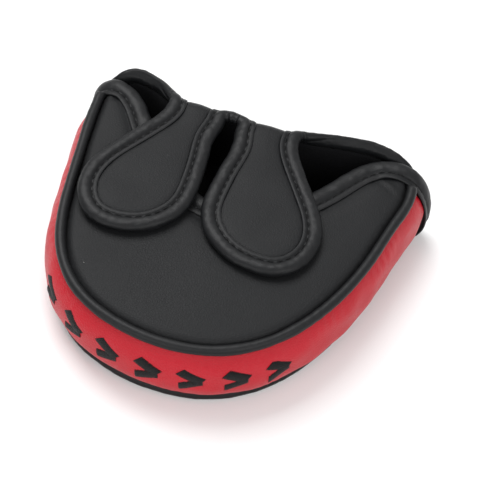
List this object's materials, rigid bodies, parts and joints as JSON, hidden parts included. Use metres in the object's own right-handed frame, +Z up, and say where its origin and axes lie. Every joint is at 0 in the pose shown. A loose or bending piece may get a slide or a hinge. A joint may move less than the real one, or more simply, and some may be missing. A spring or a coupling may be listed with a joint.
{
  "type": "putter head cover",
  "caption": "Padded D-shaped sleeve for a mallet putter head, piped edges, red side band, with a front wall that folds down and tongues that close over the top.",
  "frame": {"origin": "middle of the overall width and depth, on the flat base", "axes": "+Z up; -Y towards the round end; +Y towards the mouth, where the front wall and tongues are; +X across the mouth"},
  "size_m": [0.1334, 0.1208, 0.0376],
  "materials": {
    "black_leather": "matte grained",
    "trim_leather": "satin",
    "red_leather": "satin grained",
    "foam": "matte",
    "lining": "brushed plush",
    "black_thread": "satin thread",
    "steel": "plain",
    "magnet": "plated"
  },
  "bodies": {
    "pocket": {"bottom_panel": "black_leather", "bottom_padding": "foam", "bottom_lining": "lining", "top_panel": "black_leather", "top_padding": "foam", "top_lining": "lining", "left_keeper": "steel", "right_keeper": "steel", "bottom_piping": "trim_leather", "top_piping": "trim_leather", "side_band": "red_leather", "side_padding": "foam", "side_lining": "lining", "lip_binding": "trim_leather", "lip_stitching": "black_thread", "band_embroidery": "black_thread"},
    "front_wall": {"front_wall_panel": "black_leather", "front_wall_padding": "foam", "front_wall_lining": "lining", "front_binding_left": "trim_leather", "front_binding_right": "trim_leather", "front_binding_centre": "trim_leather"},
    "left_tongue": {"left_tongue_panel": "black_leather", "left_tongue_padding": "foam", "left_tongue_lining": "lining", "left_tongue_binding": "trim_leather", "left_tongue_stitching": "black_thread", "left_magnet": "magnet"},
    "right_tongue": {"right_tongue_panel": "black_leather", "right_tongue_padding": "foam", "right_tongue_lining": "lining", "right_tongue_binding": "trim_leather", "right_tongue_stitching": "black_thread", "right_magnet": "magnet"}
  },
  "joints": [
    {"name": "front_wall_fold", "type": "hinge", "parent": "pocket", "child": "front_wall", "pos_m": [0, 0.04956, 0.0022], "axis": [-1, 0, 0], "range_deg": [0, 68]},
    {"name": "left_tongue_fold", "type": "hinge", "parent": "front_wall", "child": "left_tongue", "pos_m": [-0.0217, 0.04956, 0.0347], "axis": [-1, 0, 0], "range_deg": [0, 120]},
    {"name": "right_tongue_fold", "type": "hinge", "parent": "front_wall", "child": "right_tongue", "pos_m": [0.007, 0.04956, 0.0347], "axis": [-1, 0, 0], "range_deg": [0, 120]}
  ]
}
